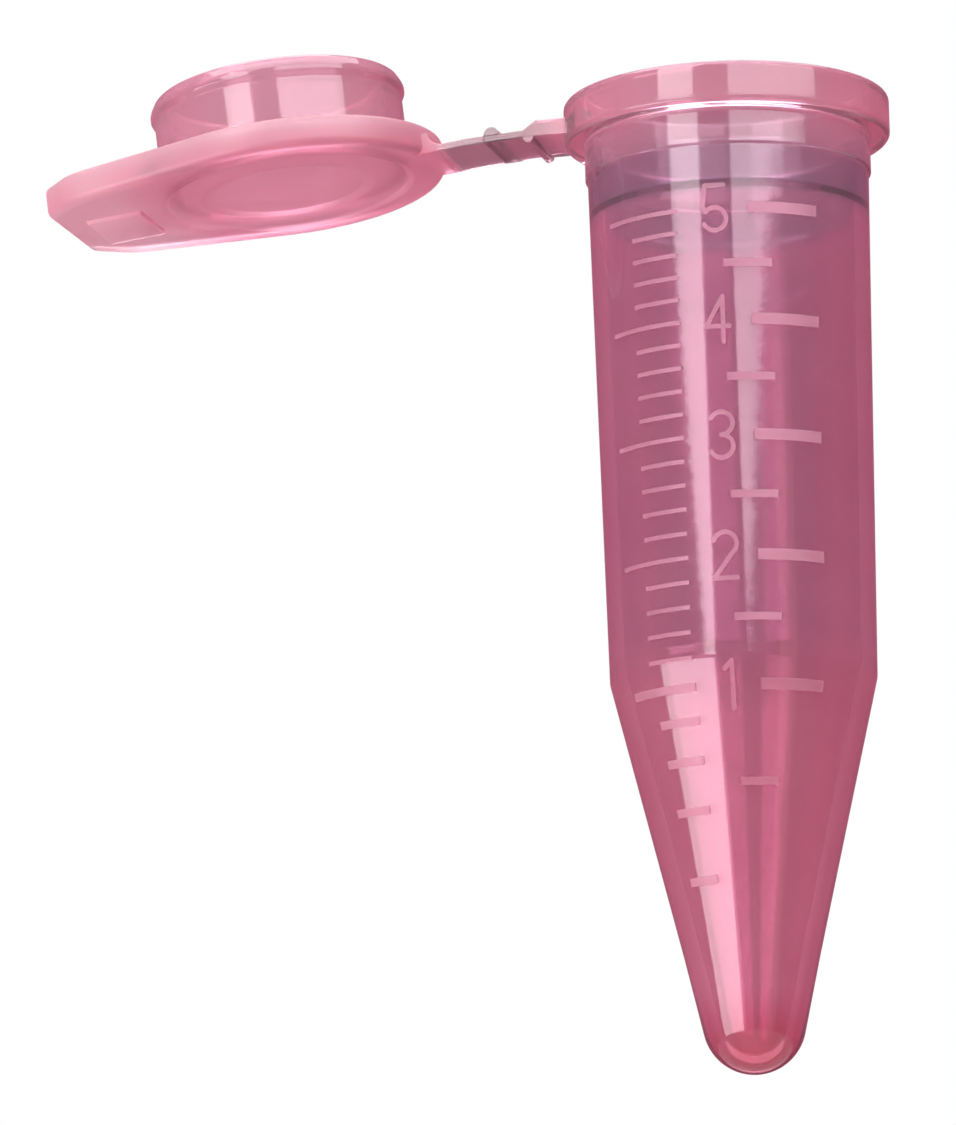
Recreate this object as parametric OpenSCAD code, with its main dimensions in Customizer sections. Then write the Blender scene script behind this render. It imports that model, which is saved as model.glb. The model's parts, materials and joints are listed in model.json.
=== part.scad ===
// Snap-cap 5 mL sample tube, moulded in one piece with its cap and strap.
// Millimetres. +Z runs up the tube's axis, out of the mouth. The origin is on the
// axis, level with the underside of the rim flange, where the tube hangs in a rack.
// The strap and the open cap lie toward -X.

/* [Barrel and cone] */
// Barrel radius where it leaves the rim
barrel_top_r = 8.07; // [7.9:0.01:8.2]
// Barrel radius at its lower end, where the cone starts
barrel_low_r = 7.55; // [7.4:0.01:7.7]
// Depth of the cone's start below the flange
cone_depth = 31.35; // [29:0.05:34]
// Half angle of the cone, in degrees
cone_angle = 13.2; // [12:0.1:14]
// Outside radius of the round tip
tip_r = 2.91; // [2.6:0.01:3.2]
// Wall thickness of the barrel
barrel_wall_t = 0.87; // [0.7:0.01:1]
// Wall thickness of the cone and the tip
cone_wall_t = 1.05; // [0.8:0.01:1.2]

/* [Rim] */
// Outside radius of the rim flange
flange_r = 9.32; // [9:0.01:9.6]
// Height of the rim flange
flange_h = 2.4; // [2.2:0.05:2.6]
// Rounding of the flange's edges
flange_edge_r = 0.25; // [0.1:0.05:0.4]
// Outside radius of the collar under the flange
collar_r = 8.17; // [8.1:0.01:8.3]
// Length of the collar below the flange
collar_h = 2.05; // [1.5:0.05:3]
// Radius where the flange ring meets the collar that it surrounds
flange_bore_r = 8; // [7.95:0.01:8.1]
// Radius of the sealing bore inside the rim
seat_r = 7.47; // [7.45:0.01:7.55]
// Depth of the sealing bore's lower end below the flange
seat_depth = 4.3; // [4:0.05:5]
// Depth below the flange where the bore starts to open towards the mouth
lead_depth = 1.6; // [1.5:0.1:1.8]
// How far the bore opens at the mouth, on the radius
lead_flare = 0.42; // [0.42:0.01:0.5]

/* [Cap] */
// Radius of the cap's round plate
plate_r = 9.2; // [9:0.05:9.5]
// Thickness of the cap's plate
plate_t = 1.87; // [1.6:0.01:2.1]
// Distance from the plug's axis to the end of the thumb tab
tab_reach = 13.4; // [12.5:0.1:14]
// Half width of the tab's end
tab_end_w = 4.1; // [3.5:0.1:4.5]
// Half width of the tab where its corners are cut
tab_shoulder_w = 6.3; // [6:0.1:6.6]
// Distance from the plug's axis to the tab's cut corners
tab_shoulder = 11.4; // [11:0.1:12]
// Radius of the sealing plug's wall
plug_r = 7.22; // [7.1:0.01:7.25]
// Length of the sealing plug
plug_h = 4.3; // [4:0.05:4.4]
// Wall thickness of the sealing plug
plug_wall_t = 0.95; // [0.7:0.05:1.2]
// Radius over the plug's sealing bead
bead_r = 7.42; // [7.35:0.01:7.43]
// Distance of the bead's middle from the plate
bead_height = 3.45; // [3.2:0.05:3.5]
// Height of the sealing bead
bead_h = 0.9; // [0.6:0.05:1]
// Depth of the round writing panel in the cap's outer face
panel_depth = 0.12; // [0.05:0.01:0.3]

/* [Strap and hinges] */
// Width of the strap
strap_w = 5; // [4.5:0.1:5.5]
// Thickness of the strap's bending web
web_t = 0.42; // [0.3:0.01:0.5]
// Distance from the tube's axis to the tube's fold line, and from the plug's axis to the cap's
hinge_reach = 11.55; // [11.5:0.05:12]
// Height of the tube's fold line above the flange's underside
hinge_z = 0.97; // [0.9:0.01:1]
// Depth of the strap's mid-plane below the plug side of the cap
strap_drop = 1.66; // [1.6:0.01:1.66]
// Gap left between the flange and the closed cap
seat_gap = 0.02; // [0.01:0.01:0.05]
// Droop of the open cap below level, in degrees
cap_droop = 6.1; // [0:0.1:8]
// Gap between the web's round ends and what they turn in
fold_gap = 0.03; // [0.02:0.01:0.05]

/* [Graduations] */
// How far the marks and numerals stand out of the wall
mark_proud = 0.08; // [0.05:0.01:0.12]
// Height of the whole and the half bars of the coarse scale
bar_h = [0.62, 0.42]; // [0.2:0.02:0.8]
// Height of the fine scale's marks on the barrel and on the cone
fine_h = [0.22, 0.45]; // [0.2:0.01:0.6]
// Height of a numeral
numeral_h = 2.84; // [2:0.02:2.84]
// Width of a numeral
numeral_w = 1.55; // [1.2:0.05:1.8]
// Width of a numeral's stroke
stroke_w = 0.24; // [0.15:0.01:0.3]

/* [Hidden] */
$fn = 96;

// Outside of the tube: the barrel tapers gently, then the cone runs down to the round tip
draft = (barrel_top_r - barrel_low_r) / cone_depth;
cone_slope = tan(cone_angle);
tip_z = -cone_depth - (barrel_low_r - tip_r / cos(cone_angle)) / cone_slope;
tip_join_z = tip_z - tip_r * sin(cone_angle);
function wall_r(z) =
    z > -cone_depth ? barrel_top_r + z * draft : barrel_low_r + (z + cone_depth) * cone_slope;

// Inside of the tube, offset by the two wall thicknesses
inner_tip_r = tip_r - cone_wall_t;
cone_inset = cone_wall_t / cos(cone_angle);
knee_depth = cone_depth - (cone_inset - barrel_wall_t) / (cone_slope - draft);
function inner_r(z) =
    z > -knee_depth ? wall_r(z) - barrel_wall_t
    : barrel_low_r - cone_inset + (z + cone_depth) * cone_slope;

// Height of the liquid's surface for a volume in millilitres
join_r = inner_tip_r * cos(cone_angle);
join_z = tip_z - inner_tip_r * sin(cone_angle);
bowl_h = inner_tip_r * (1 - sin(cone_angle));
bowl_volume = PI * pow(bowl_h, 2) * (3 * inner_tip_r - bowl_h) / 3;
knee_r = inner_r(-knee_depth);
knee_volume = bowl_volume + PI * (pow(knee_r, 3) - pow(join_r, 3)) / (3 * cone_slope);
function taper_r(start_r, slope, volume) = pow(pow(start_r, 3) + 3 * slope * volume / PI, 1 / 3);
function level(ml) =
    1000 * ml < knee_volume
    ? join_z + (taper_r(join_r, cone_slope, 1000 * ml - bowl_volume) - join_r) / cone_slope
    : -knee_depth + (taper_r(knee_r, draft, 1000 * ml - knee_volume) - knee_r) / draft;

// Angles about the tube's axis that the marks and numerals cover
whole_bar_angles = [-69.8, -40.2];
half_bar_angles = [-80.4, -60.7];
long_mark_angles = [-134.3, -99.4];
short_mark_angles = [-120.8, -99.6];
numeral_angle = -83.5;

// Folding strap: at the closed cap the link stands upright, so both folds turn alike
link_length = flange_h + seat_gap + strap_drop - hinge_z;
link_droop = cap_droop / 2;
stub_end = hinge_reach - web_t / 2 - fold_gap;
stub_top = 1.72;
stub_flat_end = 10.65;
stub_rib_r = 0.3;
link_rib_r = 0.45;
link_rib_place = 1.72;
root_r = 0.8;
lip_r = 0.35;
pad_size = [3.4, 4.9, 0.25];
pad_place = 9.95;
pink = [0.86, 0.45, 0.62, 0.75];
pale_pink = [0.93, 0.66, 0.78, 0.9];

// Turns a shape drawn along +X into the open cap's direction about a fold line
module at_tube_fold() translate([-hinge_reach, 0, hinge_z]) rotate([0, link_droop, 180]) children();
module at_cap_fold() at_tube_fold() translate([link_length, 0, 0]) rotate([0, link_droop, 0]) children();
// The cap's own frame: plug axis along +Z, plate's plug side at z = 0, tab toward +X
module in_cap() at_cap_fold() translate([hinge_reach, 0, strap_drop]) children();

// Web across the strap's width from the fold line to a distance, with round ends
module web_end() rotate([90, 0, 0]) cylinder(r = web_t / 2, h = strap_w, center = true);
module web(from, to) translate([from, -strap_w / 2, -web_t / 2]) cube([to - from, strap_w, web_t]);
module half_rod(r, up) rotate([90, 0, 0])
    linear_extrude(strap_w, center = true)
        intersection() {
            circle(r);
            translate([-r, up ? 0 : -r]) square([2 * r, r]);
        }

module rim_flange() color(pink) {
    flat_r = flange_r - flange_edge_r;
    rotate_extrude() {
        polygon([[collar_r, 0], [flat_r, 0], [flat_r, flange_h], [flange_bore_r, flange_h],
            [flange_bore_r, collar_r - flange_bore_r]]);
        translate([flat_r, flange_edge_r]) square([flange_edge_r, flange_h - 2 * flange_edge_r]);
        for (z = [flange_edge_r, flange_h - flange_edge_r])
            translate([flat_r, z]) circle(flange_edge_r);
    }
}

module mouth_collar() color(pink) rotate_extrude() polygon([
    [seat_r, -seat_depth],
    [wall_r(-seat_depth), -seat_depth],
    [wall_r(-collar_h), -collar_h],
    [collar_r, -collar_h],
    [collar_r, 0],
    [flange_bore_r, collar_r - flange_bore_r],
    [flange_bore_r, flange_h],
    [seat_r + lead_flare, flange_h],
    [seat_r, -lead_depth]]);

module barrel_wall() color(pink) rotate_extrude() polygon([
    [inner_r(-seat_depth), -seat_depth],
    [wall_r(-seat_depth), -seat_depth],
    [barrel_low_r, -cone_depth],
    [inner_r(-cone_depth), -cone_depth],
    [knee_r, -knee_depth]]);

module cone_wall() color(pink) rotate_extrude() polygon([
    [inner_r(-cone_depth), -cone_depth],
    [barrel_low_r, -cone_depth],
    [tip_r * cos(cone_angle), tip_join_z],
    [join_r, join_z]]);

// The tip's two faces are parts of concentric spheres that run on smoothly from the cone
module round_tip() color(pink) rotate_extrude() intersection() {
    difference() {
        translate([0, tip_z]) circle(tip_r);
        translate([0, tip_z]) circle(inner_tip_r);
    }
    polygon([[0, tip_z], [join_r, join_z], [tip_r * cos(cone_angle), tip_join_z],
        [tip_r, tip_z - 2 * tip_r], [0, tip_z - 2 * tip_r]]);
}

module strap_stub() color(pink) {
    low = hinge_z - web_t / 2;
    high = hinge_z + web_t / 2;
    difference() {
        translate([0, strap_w / 2, 0]) rotate([90, 0, 0]) linear_extrude(strap_w) polygon([
            [0, low], [-stub_end, low], [-stub_end, high], [-stub_flat_end, stub_top], [0, stub_top]]);
        cylinder(r = flange_r, h = 3 * flange_h, center = true, $fn = 360);
    }
}

module stub_rib() color(pink)
    translate([-stub_end + stub_rib_r, 0, hinge_z - web_t / 2]) half_rod(stub_rib_r, false);

// One raised mark that follows the tapering wall
module mark(z, h, angles) rotate([0, 0, angles[0]])
    rotate_extrude(angle = angles[1] - angles[0]) polygon([
        [wall_r(z - h / 2), z - h / 2],
        [wall_r(z - h / 2) + mark_proud, z - h / 2],
        [wall_r(z + h / 2) + mark_proud, z + h / 2],
        [wall_r(z + h / 2), z + h / 2]]);

module coarse_bars_whole() color(pale_pink)
    for (ml = [1:5]) mark(level(ml), bar_h[0], whole_bar_angles);

module coarse_bars_half() color(pale_pink)
    for (ml = [0.5:4.5]) mark(level(ml), bar_h[1], half_bar_angles);

module fine_marks_whole() color(pale_pink)
    for (ml = [1:5]) mark(level(ml), ml > 1 ? fine_h[0] : fine_h[1], long_mark_angles);

module fine_marks_fifth() color(pale_pink)
    for (ml = [1:4], fifth = [1:4]) mark(level(ml + fifth / 5), fine_h[0], short_mark_angles);

module cone_marks() color(pale_pink)
    for (fifth = [1:4]) mark(level(fifth / 5), fine_h[1], short_mark_angles);

// Numerals drawn as strokes in a box numeral_w wide and numeral_h high, centred
module stroke(a, b) {
    d = b - a;
    translate(a) rotate(atan2(d[1], d[0])) translate([0, -stroke_w / 2]) square([norm(d), stroke_w]);
    for (end = [a, b]) translate(end) circle(stroke_w / 2);
}
// Part of a ring between two angles, drawn where a wedge crosses it
module bow(r, from, to) {
    steps = ceil((to - from) / 60);
    far = 2 * r;
    intersection() {
        difference() {
            circle(r + stroke_w / 2);
            circle(r - stroke_w / 2);
        }
        polygon(concat([[0, 0]],
            [for (i = [0:steps]) far * [cos(from + (to - from) * i / steps), sin(from + (to - from) * i / steps)]]));
    }
    for (a = [from, to]) translate(r * [cos(a), sin(a)]) circle(stroke_w / 2);
}

half_w = (numeral_w - stroke_w) / 2;
half_h = (numeral_h - stroke_w) / 2;

module figure_5() {
    stroke([half_w - 0.1, half_h], [-half_w + 0.15, half_h]);
    stroke([-half_w + 0.15, half_h], [-half_w, 0.1]);
    translate([0, half_w - half_h]) bow(half_w, -155, 140);
    stroke([-half_w, 0.1], [half_w * cos(140), half_w - half_h + half_w * sin(140)]);
}
module figure_4() {
    stroke([0.3, -half_h], [0.3, half_h]);
    stroke([0.3, half_h], [-half_w, -0.4]);
    stroke([-half_w, -0.4], [half_w, -0.4]);
}
module figure_3() {
    for (side = [-1, 1]) translate([0, side * half_h / 2])
        bow(half_h / 2, side > 0 ? -90 : -150, side > 0 ? 150 : 90);
}
module figure_2() {
    top = half_h - half_w;
    translate([0, top]) bow(half_w, -30, 160);
    stroke([half_w * cos(-30), top + half_w * sin(-30)], [-half_w, -half_h]);
    stroke([-half_w, -half_h], [half_w, -half_h]);
}
module figure_1() {
    stroke([0.15, -half_h], [0.15, half_h]);
    stroke([0.15, half_h], [-0.25, half_h - 0.4]);
}

// Wraps a figure onto the tapering wall at the height of its volume
module on_wall(ml) {
    z = level(ml);
    low = z - numeral_h / 2 - stroke_w;
    high = min(z + numeral_h / 2 + stroke_w, ml > 1 ? 0 : -cone_depth);
    intersection() {
        rotate_extrude() polygon([
            [wall_r(low), low], [wall_r(low) + mark_proud, low],
            [wall_r(high) + mark_proud, high], [wall_r(high), high]]);
        rotate([0, 0, numeral_angle + 90]) translate([0, 0, z]) rotate([90, 0, 0])
            linear_extrude(2 * barrel_top_r) children();
    }
}

module numeral_5() color(pale_pink) on_wall(5) figure_5();
module numeral_4() color(pale_pink) on_wall(4) figure_4();
module numeral_3() color(pale_pink) on_wall(3) figure_3();
module numeral_2() color(pale_pink) on_wall(2) figure_2();
module numeral_1() color(pale_pink) on_wall(1) figure_1();

module link_web() color(pink) at_tube_fold() {
    reach = link_length - web_t / 2 - fold_gap;
    web(0, reach);
    web_end();
}

module link_rib() color(pink) at_tube_fold()
    translate([link_rib_place, 0, web_t / 2]) half_rod(link_rib_r, true);

module cap_strap() color(pink) in_cap() difference() {
    translate([-hinge_reach, 0, -strap_drop]) {
        web(0, hinge_reach);
        web_end();
    }
    cylinder(r = plate_r, h = 3 * plate_t, center = true);
}

// Concave fillet that carries the strap up into the plate's round edge
module strap_root() color(pink) in_cap() {
    low = -strap_drop + web_t / 2;
    start = -plate_r - root_r;
    difference() {
        rotate([90, 0, 0]) linear_extrude(strap_w, center = true) difference() {
            translate([start, low]) square([plate_r + root_r - strap_w / 2, root_r]);
            translate([start, low + root_r]) circle(root_r);
        }
        cylinder(r = plate_r, h = 3 * plate_t, center = true, $fn = 360);
    }
}

module cap_plate() color(pink) in_cap() difference() {
    translate([0, 0, -plate_t]) cylinder(r = plate_r, h = plate_t);
    translate([0, 0, -plate_t]) cylinder(r = plug_r, h = 2 * panel_depth, center = true);
}

// Tab sides run from the round plate's tangent points to the cut corners
module thumb_tab() color(pink) in_cap() {
    lean = atan2(tab_shoulder_w, tab_shoulder);
    tangent = lean + acos(plate_r / norm([tab_shoulder, tab_shoulder_w]));
    touch = plate_r * [cos(tangent), sin(tangent)];
    translate([0, 0, -plate_t]) linear_extrude(plate_t) difference() {
        polygon([[0, 0], [touch[0], -touch[1]], [tab_shoulder, -tab_shoulder_w],
            [tab_reach, -tab_end_w], [tab_reach, tab_end_w],
            [tab_shoulder, tab_shoulder_w], touch]);
        circle(plate_r);
    }
}

module tab_pad() color(pale_pink) in_cap()
    translate([pad_place, 0, -plate_t - pad_size[2] / 2]) cube(pad_size, center = true);

module plug_wall() color(pink) in_cap() rotate_extrude() {
    inner = plug_r - plug_wall_t;
    translate([inner, 0]) square([plug_wall_t, plug_h - lip_r]);
    translate([inner, plug_h - lip_r]) square([plug_wall_t - lip_r, lip_r]);
    translate([plug_r - lip_r, plug_h - lip_r]) circle(lip_r);
}

module plug_bead() color(pink) in_cap() rotate_extrude()
    polygon([[plug_r, bead_height - bead_h / 2], [bead_r, bead_height - bead_h / 6],
        [bead_r, bead_height + bead_h / 6], [plug_r, bead_height + bead_h / 2]]);

rim_flange();
mouth_collar();
barrel_wall();
cone_wall();
round_tip();
strap_stub();
stub_rib();
coarse_bars_whole();
coarse_bars_half();
fine_marks_whole();
fine_marks_fifth();
cone_marks();
numeral_5();
numeral_4();
numeral_3();
numeral_2();
numeral_1();
link_web();
link_rib();
cap_strap();
strap_root();
cap_plate();
thumb_tab();
tab_pad();
plug_wall();
plug_bead();
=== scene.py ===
import json
import math
import bmesh
import bpy
from mathutils import Matrix, Vector


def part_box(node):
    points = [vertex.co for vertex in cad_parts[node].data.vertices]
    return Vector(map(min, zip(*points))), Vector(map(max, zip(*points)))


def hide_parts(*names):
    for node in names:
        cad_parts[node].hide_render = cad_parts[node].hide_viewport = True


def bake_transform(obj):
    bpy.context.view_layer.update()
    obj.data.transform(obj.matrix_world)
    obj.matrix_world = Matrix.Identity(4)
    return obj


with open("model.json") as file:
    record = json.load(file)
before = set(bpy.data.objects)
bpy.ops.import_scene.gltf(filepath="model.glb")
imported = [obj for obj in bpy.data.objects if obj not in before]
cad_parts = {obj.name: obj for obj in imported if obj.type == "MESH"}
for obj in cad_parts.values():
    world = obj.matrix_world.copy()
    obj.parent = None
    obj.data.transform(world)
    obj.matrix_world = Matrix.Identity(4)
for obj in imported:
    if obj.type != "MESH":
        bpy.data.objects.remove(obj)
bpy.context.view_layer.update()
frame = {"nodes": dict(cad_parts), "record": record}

# ---------------------------------------------------------------- sizes
# Lengths are in millimetres until a mesh is finished; positions come from the frame.
MM = 0.001


def corners(node):
    low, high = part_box(node)
    return Vector(low) / MM, Vector(high) / MM


flange_high = corners("rim_flange")[1]
collar_low, collar_high = corners("mouth_collar")
barrel_low, barrel_high = corners("barrel_wall")
cone_high = corners("cone_wall")[1]
tip_low, tip_high = corners("round_tip")
stub_low, stub_high = corners("strap_stub")

FLANGE_R = flange_high.x
FLANGE_TOP = flange_high.z
COLLAR_R = collar_high.x
SEAT_Z = collar_low.z
BARREL_R = barrel_high.x
CONE_Z = barrel_low.z
CONE_R = cone_high.x
TIP_JOIN_R = tip_high.x
TIP_JOIN_Z = tip_high.z
TIP_Z = tip_low.z
COLLAR_END = -2.05
SEAT_R = 7.47
FLARE_R = 7.89
FLARE_Z = -1.6
WALL = 0.87
CONE_WALL = 1.05
SKIN = 0.01
STRAP_HALF = (stub_high.y - stub_low.y) / 2
WEB = 0.42

hinges = {j["name"]: Vector(j["pos_m"]) / MM for j in frame["record"]["behaviour"]["joints"]}
TUBE_FOLD = hinges["tube_fold"]
CAP_FOLD = hinges["cap_fold"]
LINK = CAP_FOLD - TUBE_FOLD
LINK_DROOP = math.atan2(-LINK.z, -LINK.x)
REACH = -TUBE_FOLD.x

# The cap's own frame: U toward the thumb tab, N up the plug
U = Vector((-math.cos(2 * LINK_DROOP), 0, -math.sin(2 * LINK_DROOP)))
N = Vector((-math.sin(2 * LINK_DROOP), 0, math.cos(2 * LINK_DROOP)))
W = N.cross(U)
STRAP_DROP = 1.66
CAP = CAP_FOLD + U * REACH + N * STRAP_DROP
CAP_FRAME = Matrix((U, W, N)).transposed().to_4x4()
CAP_FRAME.translation = CAP
PLATE_R = 9.2
PLATE_T = 1.87
ROOT_R = 0.8
SHARP_DEGREES = 35


# ---------------------------------------------------------------- mesh helpers
def fillet(points, radii, steps=6, closed=False):
    """The polyline with each corner that has a radius replaced by an arc."""
    count = len(points)
    out = []
    for i, (p, r) in enumerate(zip(points, radii)):
        p = Vector(p)
        if r == 0 or (not closed and i in (0, count - 1)):
            out.append(p)
            continue
        a = Vector(points[i - 1]) - p
        b = Vector(points[(i + 1) % count]) - p
        la, lb = a.length, b.length
        a.normalize()
        b.normalize()
        half = a.angle(b) / 2
        cut = min(r / math.tan(half), 0.49 * la, 0.49 * lb)
        r = cut * math.tan(half)
        centre = p + (a + b).normalized() * (r / math.sin(half))
        start, end = p + a * cut - centre, p + b * cut - centre
        turn = start.angle_signed(end)
        for k in range(steps + 1):
            angle = turn * k / steps
            c, s = math.cos(-angle), math.sin(-angle)
            out.append(centre + Vector((c * start.x - s * start.y, s * start.x + c * start.y)))
    return out


def make(name, verts, faces):
    """A mesh object in millimetres, with doubles merged and outward normals."""
    mesh = bpy.data.meshes.new(name)
    mesh.from_pydata([tuple(v) for v in verts], [], faces)
    bm = bmesh.new()
    bm.from_mesh(mesh)
    bmesh.ops.remove_doubles(bm, verts=bm.verts, dist=1e-5)
    bmesh.ops.recalc_face_normals(bm, faces=bm.faces)
    bm.to_mesh(mesh)
    bm.free()
    obj = bpy.data.objects.new(name, mesh)
    bpy.context.scene.collection.objects.link(obj)
    return obj


def held(profile, gap=0.05, least=0.4):
    """The profile with a point near both ends of each long run, so that flats shade flat."""
    out = [profile[0]]
    for a, b in zip(profile, profile[1:]):
        a, b = Vector(a), Vector(b)
        if (b - a).length > least:
            step = (b - a).normalized() * gap
            out += [tuple(a + step), tuple(b - step)]
        out.append(tuple(b))
    return out


def lathe(name, profile, segments=192, closed=False):
    """Turns a profile of (radius, height) points about Z. Ends on the axis become poles."""
    profile = held([tuple(p) for p in profile])
    verts, faces = [], []
    rings = []
    for r, z in profile:
        if r < 1e-6:
            rings.append([len(verts)])
            verts.append((0, 0, z))
        else:
            rings.append(list(range(len(verts), len(verts) + segments)))
            for k in range(segments):
                a = math.tau * k / segments
                verts.append((r * math.cos(a), r * math.sin(a), z))
    pairs = list(zip(rings, rings[1:]))
    if closed:
        pairs.append((rings[-1], rings[0]))
    for low, high in pairs:
        for k in range(segments):
            n = (k + 1) % segments
            if len(low) == 1:
                faces.append((low[0], high[n], high[k]))
            elif len(high) == 1:
                faces.append((low[k], low[n], high[0]))
            else:
                faces.append((low[k], low[n], high[n], high[k]))
    return make(name, verts, faces)


def prism(name, outline, half_width, edge=0.0):
    """Extrudes an outline in the XZ plane to both sides along Y, with its long edges eased by edge."""
    count = len(outline)
    verts = []
    rows = [(-half_width, edge), (-half_width + edge, 0), (half_width - edge, 0), (half_width, edge)]
    if edge == 0:
        rows = [(-half_width, 0), (half_width, 0)]
    normals = []
    for i in range(count):
        a = (Vector(outline[i]) - Vector(outline[i - 1])).normalized()
        b = (Vector(outline[(i + 1) % count]) - Vector(outline[i])).normalized()
        t = (a + b).normalized()
        normals.append(Vector((-t.y, t.x)))
    area = sum(Vector(outline[i - 1]).cross(Vector(outline[i])) for i in range(count))
    sign = 1 if area > 0 else -1
    for y, inset in rows:
        for p, n in zip(outline, normals):
            q = Vector(p) + n * inset * sign
            verts.append((q.x, y, q.y))
    faces = []
    for r in range(len(rows) - 1):
        for i in range(count):
            j = (i + 1) % count
            faces.append((r * count + i, r * count + j, (r + 1) * count + j, (r + 1) * count + i))
    faces.append(tuple(range(count - 1, -1, -1)))
    last = (len(rows) - 1) * count
    faces.append(tuple(range(last, last + count)))
    return make(name, verts, faces)


def join(base, others, operation="UNION"):
    """One closed solid from several, by exact booleans. The others are used up."""
    for other in others:
        mod = base.modifiers.new("join", "BOOLEAN")
        mod.operation = operation
        mod.solver = "EXACT"
        mod.object = other
        bpy.context.view_layer.update()
        result = bpy.data.meshes.new_from_object(base.evaluated_get(bpy.context.evaluated_depsgraph_get()))
        base.modifiers.clear()
        base.data = result
        bpy.data.objects.remove(other)
    return base


def finish_piece(obj, material):
    """To metres, smoothed except at sharp edges, with its material."""
    mesh = obj.data
    mesh.transform(Matrix.Scale(MM, 4))
    mesh.shade_smooth()
    mesh.set_sharp_from_angle(angle=math.radians(SHARP_DEGREES))
    mesh.materials.clear()
    mesh.materials.append(material)


# ---------------------------------------------------------------- materials
# The bands and patches below match the photograph's look region by region. The real plastic is
# presumably one colour, so the greyer strap and the violet band come from its surroundings.
def polypropylene(name, bands, tint, density, clear, bump=0.02, axis=(0, 0, 1), origin=(0, 0, 0), patches=()):
    """Translucent moulded plastic: tinted in its thickness, with cloudy colour and a faint orange-peel skin.

    bands are (height in mm, colour, roughness) stops, counted from origin along axis.
    patches are (axis, start, end, colour, roughness): regions that take over between start and end mm."""
    mat = bpy.data.materials.new(name)
    mat.use_nodes = True
    nodes, links = mat.node_tree.nodes, mat.node_tree.links
    shader = nodes["Principled BSDF"]
    output = nodes["Material Output"]
    shader.inputs["IOR"].default_value = 1.49
    shader.inputs["Transmission Weight"].default_value = clear
    coords = nodes.new("ShaderNodeTexCoord")

    def noise(scale, detail):
        node = nodes.new("ShaderNodeTexNoise")
        node.inputs["Scale"].default_value = scale
        node.inputs["Detail"].default_value = detail
        links.new(coords.outputs["Object"], node.inputs["Vector"])
        return node.outputs["Fac"]

    def spread(value, low, high, start=0.0, end=1.0):
        node = nodes.new("ShaderNodeMapRange")
        node.inputs["From Min"].default_value = start
        node.inputs["From Max"].default_value = end
        node.inputs["To Min"].default_value = low
        node.inputs["To Max"].default_value = high
        links.new(value, node.inputs["Value"])
        return node.outputs["Result"]

    along = nodes.new("ShaderNodeVectorMath")
    along.operation = "DOT_PRODUCT"
    links.new(coords.outputs["Object"], along.inputs[0])
    along.inputs[1].default_value = axis
    ramp = nodes.new("ShaderNodeValToRGB")
    stops = ramp.color_ramp.elements
    while len(stops) < len(bands):
        stops.new(0.5)
    low, high = bands[0][0], bands[-1][0]
    start = Vector(axis).dot(Vector(origin))
    for stop, (height, colour, roughness) in zip(stops, bands):
        stop.position = (height - low) / (high - low)
        stop.color = (*colour, roughness)
    height = spread(along.outputs["Value"], 0, 1, (start + low) * MM, (start + high) * MM)
    links.new(height, ramp.inputs["Fac"])
    cloud = noise(140, 3)
    tone = nodes.new("ShaderNodeHueSaturation")
    colour, matte = ramp.outputs["Color"], ramp.outputs["Alpha"]
    for way, begin, end, patch_colour, patch_roughness in patches:
        reach = nodes.new("ShaderNodeVectorMath")
        reach.operation = "DOT_PRODUCT"
        links.new(coords.outputs["Object"], reach.inputs[0])
        reach.inputs[1].default_value = way
        middle = Vector(way).dot(Vector(origin))
        share = spread(reach.outputs["Value"], 0, 1, (middle + begin) * MM, (middle + end) * MM)
        blend = nodes.new("ShaderNodeMix")
        blend.data_type = "RGBA"
        links.new(share, blend.inputs["Factor"])
        links.new(colour, blend.inputs[6])
        blend.inputs[7].default_value = (*patch_colour, 1)
        colour = blend.outputs[2]
        dull = nodes.new("ShaderNodeMix")
        links.new(share, dull.inputs["Factor"])
        links.new(matte, dull.inputs[2])
        dull.inputs[3].default_value = patch_roughness
        matte = dull.outputs[0]
    links.new(colour, tone.inputs["Color"])
    links.new(spread(cloud, 0.9, 1.1, 0.3, 0.7), tone.inputs["Saturation"])
    links.new(spread(cloud, 1.03, 0.97, 0.3, 0.7), tone.inputs["Value"])
    links.new(tone.outputs["Color"], shader.inputs["Base Color"])
    gloss = nodes.new("ShaderNodeMath")
    gloss.operation = "MULTIPLY"
    links.new(matte, gloss.inputs[0])
    links.new(spread(noise(260, 3), 0.7, 1.3), gloss.inputs[1])
    links.new(gloss.outputs["Value"], shader.inputs["Roughness"])
    skin = nodes.new("ShaderNodeBump")
    skin.inputs["Strength"].default_value = bump
    skin.inputs["Distance"].default_value = 0.0002
    links.new(noise(900, 4), skin.inputs["Height"])
    links.new(skin.outputs["Normal"], shader.inputs["Normal"])
    volume = nodes.new("ShaderNodeVolumeAbsorption")
    volume.inputs["Color"].default_value = (*tint, 1)
    volume.inputs["Density"].default_value = density
    links.new(volume.outputs["Volume"], output.inputs["Volume"])
    return mat


TUBE_BANDS = (
    (TIP_Z, (0.74, 0.20, 0.28), 0.10),
    (TIP_JOIN_Z + 2, (0.86, 0.56, 0.69), 0.07),
    (CONE_Z - 1, (0.83, 0.53, 0.66), 0.06),
    (CONE_Z + 2, (0.74, 0.48, 0.62), 0.06),
    (SEAT_Z - 0.6, (0.74, 0.48, 0.62), 0.06),
    # painted shade and reflection: the dark violet-grey band from the seat up to the collar's end
    (SEAT_Z, (0.45, 0.38, 0.49), 0.09),
    (COLLAR_END - 0.2, (0.47, 0.39, 0.50), 0.09),
    (COLLAR_END + 0.1, (0.62, 0.53, 0.61), 0.07),
    # painted light: the flange is made much paler than the barrel
    (-0.2, (0.80, 0.65, 0.74), 0.08),
    (0.0, (0.99, 0.83, 0.90), 0.20),
    (0.4, (0.99, 0.83, 0.90), 0.20),
    (0.6, (0.99, 0.83, 0.90), 0.06),
    (FLANGE_TOP, (0.99, 0.83, 0.90), 0.06),
)
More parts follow.
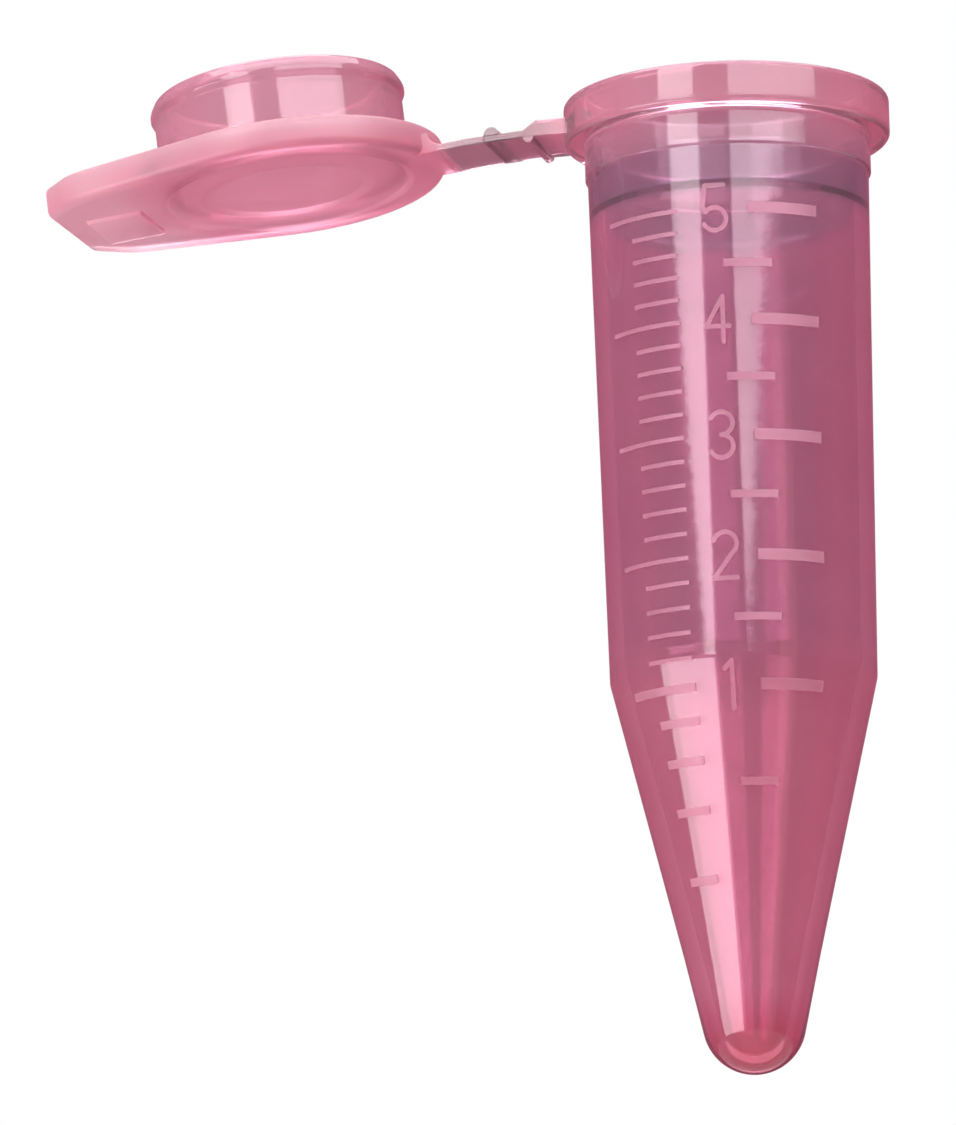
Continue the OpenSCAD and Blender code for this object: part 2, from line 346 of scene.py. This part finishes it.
CAP_BANDS = (
    (-PLATE_T, (0.92, 0.53, 0.66), 0.38),
    (-PLATE_T + 0.5, (0.98, 0.78, 0.88), 0.40),
    (-0.4, (0.99, 0.94, 0.99), 0.40),
    (0.1, (0.99, 0.92, 0.97), 0.38),
    (0.6, (0.85, 0.63, 0.71), 0.07),
    (4.3, (0.85, 0.61, 0.70), 0.07),
)
MARK_BANDS = ((TIP_Z, (0.95, 0.58, 0.71), 0.4), (0, (0.95, 0.62, 0.75), 0.4))
tube_plastic = polypropylene("tube_plastic", TUBE_BANDS, (0.94, 0.30, 0.53), 250, 0.92,
                             patches=(
                                 # painted reflection and shade: the strap beyond the flange is greyed
                                 ((-1, 0, 0), FLANGE_R + 0.2, FLANGE_R + 1.6, (0.62, 0.52, 0.56), 0.08),))
cap_plastic = polypropylene("cap_plastic", CAP_BANDS, (0.94, 0.34, 0.55), 230, 0.85, 0.05, axis=tuple(N),
                            origin=tuple(CAP), patches=(
                                (tuple(U), 5.5, 9.5, (0.99, 0.99, 0.99), 0.40),
                                # painted reflection and shade: the strap beyond the plate is greyed
                                (tuple(-U), PLATE_R + 0.2, PLATE_R + 0.9, (0.60, 0.51, 0.55), 0.1)))
mark_plastic = polypropylene("mark_plastic", MARK_BANDS, (0.95, 0.40, 0.62), 200, 0.91)


# ---------------------------------------------------------------- tube
def tube_profile():
    """The wall's section, from the tip up the outside, over the rim and down the inside."""
    cone_half = math.atan2(CONE_R - TIP_JOIN_R, CONE_Z - TIP_JOIN_Z)
    ball_r = TIP_JOIN_R / math.cos(cone_half)
    ball_z = TIP_Z + ball_r
    slope = math.tan(cone_half)
    draft = (BARREL_R - CONE_R) / (SEAT_Z - CONE_Z)
    steps = 16

    def outer(z):
        return BARREL_R + (z - SEAT_Z) * draft

    out = []
    for k in range(steps + 1):
        a = -math.pi / 2 + (math.pi / 2 - cone_half) * k / steps
        out.append((ball_r * math.cos(a), ball_z + ball_r * math.sin(a)))
    rise = [(CONE_R - (CONE_Z - z) * slope, z) for z in (-47, -42, -37)]
    out += rise
    body = [
        (CONE_R, CONE_Z), (outer(-24), -24), (outer(-16), -16), (outer(-9), -9),
        (outer(COLLAR_END - 0.05), COLLAR_END - 0.05), (COLLAR_R, COLLAR_END + 0.03), (COLLAR_R, 0),
        (FLANGE_R, 0), (FLANGE_R, FLANGE_TOP), (FLARE_R, FLANGE_TOP), (SEAT_R, FLARE_Z),
        (SEAT_R, SEAT_Z + 0.25), (outer(SEAT_Z) - WALL, SEAT_Z - 0.1)]
    radii = [1.2, 0, 0, 0, 0.03, 0.03, 0.12, 0.32, 0.32, 0.15, 0.3, 0.1, 0.1]
    rounded = fillet([out[-1]] + body + [(outer(-16) - WALL, -16)], [0] + radii + [0])
    out += [(p.x, p.y) for p in rounded[1:-1]]
    inset = CONE_WALL / math.cos(cone_half)
    knee = (inset - WALL) / (slope - draft)
    inner_r = ball_r - CONE_WALL
    inside = [(outer(-16) - WALL, -16), (outer(-24) - WALL, -24),
              (outer(CONE_Z + knee) - WALL, CONE_Z + knee),
              (CONE_R - inset - 8 * slope, CONE_Z - 8)]
    out += [(p.x, p.y) for p in fillet([out[-1]] + inside, [0, 0, 0, 1.2, 0])[1:]]
    for k in range(steps + 1):
        a = -cone_half - (math.pi / 2 - cone_half) * k / steps
        out.append((inner_r * math.cos(a), ball_z + inner_r * math.sin(a)))
    return [(max(r - (SKIN if r > 1e-4 else 0), 0), z) for r, z in out]


def strap_point(t, side):
    """A point on the link's face, t along it from the tube's fold line."""
    along = Vector((-math.cos(LINK_DROOP), -math.sin(LINK_DROOP)))
    up = Vector((along.y, -along.x))
    base = Vector((TUBE_FOLD.x, TUBE_FOLD.z))
    return base + along * t + up * side * WEB / 2


RIB_AT = 1.72
RIB_R = 0.45
MEET = RIB_AT + RIB_R
STUB_TOP = stub_high.z
STUB_FLAT = -10.65
STUB_END = -11.44
STUB_RIB_R = 0.3
STUB_RIB_X = -11.1


def make_tube():
    """The tube with its stub, the stub's rib and the tube's half of the link, in one solid."""
    shell = lathe("tube_shell", tube_profile())
    low, high = TUBE_FOLD.z - WEB / 2, TUBE_FOLD.z + WEB / 2
    inner_x = -8.55  # inside the collar's wall, so that the stub joins it
    steps = 26
    top = [strap_point(MEET * k / steps, 1) for k in range(1, steps + 1)]
    bottom = [strap_point(MEET * k / steps, -1) for k in range(1, steps + 1)]
    outline = [Vector((inner_x, low))] + [Vector((x, low)) for x in (-9.5, -10.4, -11.2)]
    outline += bottom + top[::-1]
    outline += [Vector((STUB_END, high)), Vector((STUB_FLAT, STUB_TOP)), Vector((inner_x, STUB_TOP))]
    strap = prism("strap", outline, STRAP_HALF, 0.06)
    rod = prism("rod", [(STUB_RIB_X + STUB_RIB_R * math.cos(a), low + STUB_RIB_R * math.sin(a))
                        for a in [math.tau * k / 24 for k in range(24)]], STRAP_HALF - 0.02)
    return join(shell, [strap, rod])


shell = make_tube()
finish_piece(shell, tube_plastic)
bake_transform(shell)
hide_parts("rim_flange", "mouth_collar", "barrel_wall", "cone_wall", "round_tip", "strap_stub",
            "stub_rib", "link_web")


# ---------------------------------------------------------------- cap
TAB_REACH = 13.4
TAB_END = 4.1
SHOULDER_U = 11.4
SHOULDER_W = 6.3
PAD_LONG = 3.4
PAD_WIDE = 4.9
PAD_PLACE = 9.95


def plate_outline(inset=0.0):
    """The shield outline: the round plate, its tangent sides and the cut-cornered tab."""
    lean = math.atan2(SHOULDER_W, SHOULDER_U)
    tangent = lean + math.acos(PLATE_R / math.hypot(SHOULDER_U, SHOULDER_W))
    points = [Vector((TAB_REACH, -TAB_END)), Vector((TAB_REACH, TAB_END)), Vector((SHOULDER_U, SHOULDER_W))]
    arc = 120
    for k in range(arc + 1):
        a = tangent + (math.tau - 2 * tangent) * k / arc
        points.append(PLATE_R * Vector((math.cos(a), math.sin(a))))
    points.append(Vector((SHOULDER_U, -SHOULDER_W)))
    radii = [0.9, 0.9, 3.6] + [0] * (arc + 1) + [3.6]
    rounded = fillet(points, radii, closed=True)
    count = len(rounded)
    out = []
    for i, p in enumerate(rounded):
        a = (p - rounded[i - 1]).normalized()
        b = (rounded[(i + 1) % count] - p).normalized()
        t = (a + b).normalized()
        out.append(p + Vector((-t.y, t.x)) * inset)
    return out


def make_plate():
    """The plate's solid, with rounded rims, as stacked insets of its outline."""
    low_r, high_r = 0.55, 0.3
    steps = 6
    levels = [(-PLATE_T + low_r * (1 - math.cos(math.pi / 2 * k / steps)),
               low_r * (1 - math.sin(math.pi / 2 * k / steps))) for k in range(steps + 1)]
    levels += [(-high_r * (1 - math.sin(math.pi / 2 * k / steps)),
                high_r * (1 - math.cos(math.pi / 2 * k / steps))) for k in range(steps + 1)]
    verts, faces = [], []
    for z, inset in levels:
        verts += [(p.x, p.y, z) for p in plate_outline(inset)]
    count = len(verts) // len(levels)
    for r in range(len(levels) - 1):
        for i in range(count):
            j = (i + 1) % count
            faces.append((r * count + i, r * count + j, (r + 1) * count + j, (r + 1) * count + i))
    faces.append(tuple(range(count - 1, -1, -1)))
    last = (len(levels) - 1) * count
    faces.append(tuple(range(last, last + count)))
    return make("cap_shell", verts, faces)


def make_plug():
    """Hollow plug with its sealing bead, sunk slightly into the plate."""
    sink = -0.5
    profile = [(7.22, sink), (7.22, 2.98), (7.36, 3.2), (7.42, 3.33), (7.42, 3.55), (7.36, 3.72),
               (7.24, 3.95), (7.15, 4.12), (6.98, 4.27), (6.75, 4.3), (6.35, 4.25), (6.27, 4.1),
               (6.27, 0.0), (6.27, sink)]
    rounded = fillet(profile, [0, 0.1, 0.15, 0.1, 0.1, 0.15, 0.2, 0.2, 0.2, 0.1, 0.1, 0.1, 0, 0], steps=4)
    return lathe("plug", [(p.x, p.y) for p in rounded], closed=True)


def make_pad():
    """The thumb tab's raised pad, with sloping sides."""
    long_half, wide_half, rise, slope = PAD_LONG / 2, PAD_WIDE / 2, 0.25, 0.07
    levels = ((0.3, 0.0), (0.0, 0.0), (-rise + 0.04, slope - 0.02), (-rise, slope + 0.05))
    verts, faces = [], []
    for z, inset in levels:
        ring = fillet([(-long_half + inset, -wide_half + inset), (long_half - inset, -wide_half + inset),
                       (long_half - inset, wide_half - inset), (-long_half + inset, wide_half - inset)],
                      [0.12] * 4, steps=3, closed=True)
        verts += [(PAD_PLACE + p.x, p.y, -PLATE_T + z) for p in ring]
    count = len(verts) // len(levels)
    for r in range(len(levels) - 1):
        for i in range(count):
            j = (i + 1) % count
            faces.append((r * count + i, r * count + j, (r + 1) * count + j, (r + 1) * count + i))
    faces.append(tuple(range(count - 1, -1, -1)))
    last = (len(levels) - 1) * count
    faces.append(tuple(range(last, last + count)))
    return make("pad", verts, faces)


def make_cap():
    """Plate, plug and pad in one solid, with the shallow rings of the outer face cut in."""
    plate = make_plate()
    plug = make_plug()
    face = -PLATE_T
    hollow = fillet([(7.6, face - 1), (7.6, face - 0.005), (7.35, face + 0.005), (7.0, face + 0.16),
                     (5.1, face + 0.16), (4.4, face + 0.27), (0, face + 0.30)],
                    [0, 0, 0.5, 0.6, 1.2, 1.2, 0], steps=8)
    panel = lathe("panel", [(0, face - 1)] + [(p.x, p.y) for p in hollow], segments=144)
    join(plate, [plug])
    join(plate, [panel], "DIFFERENCE")
    join(plate, [make_pad()])
    return plate


cap = make_cap()
cap.data.transform(CAP_FRAME)


def cap_strap_piece():
    """The cap's half of the link, its fold and the strap up to the plate, with the root fillet."""
    steps = 20
    root_steps = 10
    along = Vector((U.x, U.z))
    up = Vector((N.x, N.z))
    link_along = Vector((-math.cos(LINK_DROOP), -math.sin(LINK_DROOP)))
    base = Vector((CAP_FOLD.x, CAP_FOLD.z))
    link_length = LINK.length
    length = REACH - PLATE_R + 1.0
    top, bottom = [], []
    for k in range(steps + 1):
        t = -(link_length - MEET - 0.004) * (1 - k / steps)
        mid = base + link_along * t
        n = Vector((link_along.y, -link_along.x))
        top.append(mid + n * WEB / 2)
        bottom.append(mid - n * WEB / 2)
    foot = REACH - PLATE_R - ROOT_R
    for k in range(1, steps + 1):
        top.append(base + along * foot * k / steps + up * WEB / 2)
        bottom.append(base + along * length * k / steps - up * WEB / 2)
    # concave root that climbs into the plate's rim
    for k in range(1, root_steps + 1):
        a = math.pi / 2 * k / root_steps
        top.append(base + along * (foot + ROOT_R * math.sin(a)) + up * (WEB / 2 + ROOT_R * (1 - math.cos(a))))
    top.append(base + along * length + up * (WEB / 2 + ROOT_R))
    return prism("cap_strap_piece", bottom + top[::-1], STRAP_HALF, 0.06)


join(cap, [cap_strap_piece()])
finish_piece(cap, cap_plastic)
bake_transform(cap)
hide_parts("cap_plate", "thumb_tab", "tab_pad", "plug_wall", "plug_bead", "cap_strap", "strap_root")

# ---------------------------------------------------------------- carried-over nodes
for name in ("coarse_bars_whole", "coarse_bars_half", "fine_marks_whole", "fine_marks_fifth", "cone_marks",
             "numeral_5", "numeral_4", "numeral_3", "numeral_2", "numeral_1", "link_rib"):
    node = frame["nodes"][name]
    for s in node.material_slots:
        s.material = mark_plastic if "rib" not in name else cap_plastic

# ---------------------------------------------------------------- stage, camera, light
FLOOR_Z = -0.30
FLOOR_R = 0.55
FLOOR_THICK = 0.002
floor_low = (FLOOR_Z - FLOOR_THICK) / MM
floor = lathe("floor", [(0, floor_low), (FLOOR_R / MM, floor_low), (FLOOR_R / MM, FLOOR_Z / MM),
                        (0, FLOOR_Z / MM)], segments=96)
floor.data.transform(Matrix.Scale(MM, 4))
floor_mat = bpy.data.materials.new("pale_floor")
floor_mat.use_nodes = True
floor_shader = floor_mat.node_tree.nodes["Principled BSDF"]
floor_shader.inputs["Base Color"].default_value = (0.42, 0.42, 0.42, 1)
floor_shader.inputs["Roughness"].default_value = 0.8
floor.data.materials.append(floor_mat)

AZIMUTH, ELEVATION, ROLL = (math.radians(v) for v in (14.5, -11.93, -1.38))
DISTANCE = 0.45
AIM_RIGHT, AIM_UP = -0.01482, -0.02362
FOCAL_LENGTH = 251.8
back = Vector((math.sin(AZIMUTH) * math.cos(ELEVATION), -math.cos(AZIMUTH) * math.cos(ELEVATION),
               math.sin(ELEVATION)))
right = Vector((math.cos(AZIMUTH), math.sin(AZIMUTH), 0))
up = back.cross(right)
aim = right * AIM_RIGHT + up * AIM_UP
tilted_right = right * math.cos(ROLL) + up * math.sin(ROLL)
tilted_up = up * math.cos(ROLL) - right * math.sin(ROLL)
camera_data = bpy.data.cameras.new("camera")
camera_data.lens = FOCAL_LENGTH
camera_data.sensor_width = 36
camera_data.clip_start = 0.01
camera_data.clip_end = 20
camera = bpy.data.objects.new("camera", camera_data)
bpy.context.scene.collection.objects.link(camera)
pose = Matrix((tilted_right, tilted_up, back)).transposed().to_4x4()
pose.translation = aim + back * DISTANCE
camera.matrix_world = pose
bpy.context.scene.camera = camera


# Soft boxes around the plastic. Angles in degrees, turned from the view direction, as
# (left and right edge at the lowest level, the same at the highest, lowest, highest, colour)
SOFT_BOXES = (
    (-30, -25.5, -50, -25.5, 8.6, 12.6, (7.0, 6.7, 6.8)),
    (-50, -25.5, -58, -20, 12.6, 50, (7.0, 6.7, 6.8)),
    (-78, -27, -78, -27, -27, -5, (7.5, 6.6, 7.0)),
    (2, 6, 0, 27, 9.8, 12.4, (5.5, 5.2, 5.4)),
    (0, 27, 0, 64, 12.4, 15.2, (5.5, 5.2, 5.4)),
    (0, 64, 0, 66, 15.2, 40, (5.5, 5.2, 5.4)),
    (30, 46, 30, 46, -35, 12.0, (0.95, 0.65, 0.55)),
    (-181, 181, -181, 181, 52, 91, (3.6, 3.45, 3.6)),
)
# Colour of the room from straight behind the tube round to the camera's side
ROOM = (
    (0.0, (0.46, 0.13, 0.21)),
    (0.25, (0.52, 0.20, 0.29)),
    (0.45, (0.74, 0.30, 0.39)),
    (0.60, (0.56, 0.29, 0.34)),
    (0.75, (0.26, 0.24, 0.26)),
    (1.0, (0.20, 0.19, 0.20)),
)
EDGE_SOFTNESS = 1.2


def node_tools(tree):
    """Short forms for the world's arithmetic."""
    nodes, links = tree.nodes, tree.links

    def put(socket, value):
        if isinstance(value, (int, float)):
            socket.default_value = value
        else:
            links.new(value, socket)

    def calc(kind, a, b=0.0):
        node = nodes.new("ShaderNodeMath")
        node.operation = kind
        put(node.inputs[0], a)
        if kind not in ("ABSOLUTE", "ARCSINE"):
            put(node.inputs[1], b)
        return node.outputs["Value"]

    def smooth(value, a, b):
        node = nodes.new("ShaderNodeMapRange")
        node.interpolation_type = "SMOOTHSTEP"
        put(node.inputs["Value"], value)
        put(node.inputs["From Min"], a)
        put(node.inputs["From Max"], b)
        return node.outputs["Result"]

    return calc, smooth


def make_world():
    """White to the camera. To all other rays, the room's colours with the soft boxes over them."""
    world = bpy.data.worlds.new("studio")
    bpy.context.scene.world = world
    world.use_nodes = True
    nodes, links = world.node_tree.nodes, world.node_tree.links
    nodes.clear()
    calc, smooth = node_tools(world.node_tree)
    output = nodes.new("ShaderNodeOutputWorld")
    coords = nodes.new("ShaderNodeTexCoord")
    split = nodes.new("ShaderNodeSeparateXYZ")
    links.new(coords.outputs["Generated"], split.inputs["Vector"])
    x, y, z = (split.outputs[k] for k in "XYZ")
    cos_view, sin_view = math.cos(AZIMUTH), math.sin(AZIMUTH)
    across = calc("ADD", calc("MULTIPLY", x, cos_view), calc("MULTIPLY", y, sin_view))
    ahead = calc("SUBTRACT", calc("MULTIPLY", x, sin_view), calc("MULTIPLY", y, cos_view))
    turn = calc("MULTIPLY", calc("ARCTAN2", across, ahead), math.degrees(1))
    rise = calc("MULTIPLY", calc("ARCSINE", z), math.degrees(1))

    ramp = nodes.new("ShaderNodeValToRGB")
    ramp.color_ramp.interpolation = "EASE"
    stops = ramp.color_ramp.elements
    while len(stops) < len(ROOM):
        stops.new(0.5)
    for stop, (place, level) in zip(stops, ROOM):
        stop.position = place
        stop.color = (*level, 1)
    links.new(calc("ADD", calc("MULTIPLY", ahead, 0.5), 0.5), ramp.inputs["Fac"])
    colour = ramp.outputs["Color"]
    soft = EDGE_SOFTNESS
    for left_low, right_low, left_high, right_high, low, high, glow in SOFT_BOXES:
        share = calc("DIVIDE", calc("SUBTRACT", rise, low), high - low)
        left = calc("ADD", calc("MULTIPLY", share, left_high - left_low), left_low)
        right = calc("ADD", calc("MULTIPLY", share, right_high - right_low), right_low)
        mask = calc("MULTIPLY", smooth(calc("SUBTRACT", turn, left), -soft, soft),
                    smooth(calc("SUBTRACT", right, turn), -soft, soft))
        mask = calc("MULTIPLY", mask, calc("MULTIPLY", smooth(rise, low - 0.3, low + 0.3),
                                           smooth(rise, high + 0.3, high - 0.3)))
        mix = nodes.new("ShaderNodeMix")
        mix.data_type = "RGBA"
        links.new(mask, mix.inputs["Factor"])
        links.new(colour, mix.inputs[6])
        mix.inputs[7].default_value = (*glow, 1)
        colour = mix.outputs[2]
    room = nodes.new("ShaderNodeBackground")
    links.new(colour, room.inputs["Color"])
    plain = nodes.new("ShaderNodeBackground")
    plain.inputs["Color"].default_value = (1, 1, 1, 1)
    path = nodes.new("ShaderNodeLightPath")
    choose = nodes.new("ShaderNodeMixShader")
    links.new(path.outputs["Is Camera Ray"], choose.inputs["Fac"])
    links.new(room.outputs["Background"], choose.inputs[1])
    links.new(plain.outputs["Background"], choose.inputs[2])
    links.new(choose.outputs["Shader"], output.inputs["Surface"])


make_world()
bpy.context.scene.view_settings.view_transform = "Standard"
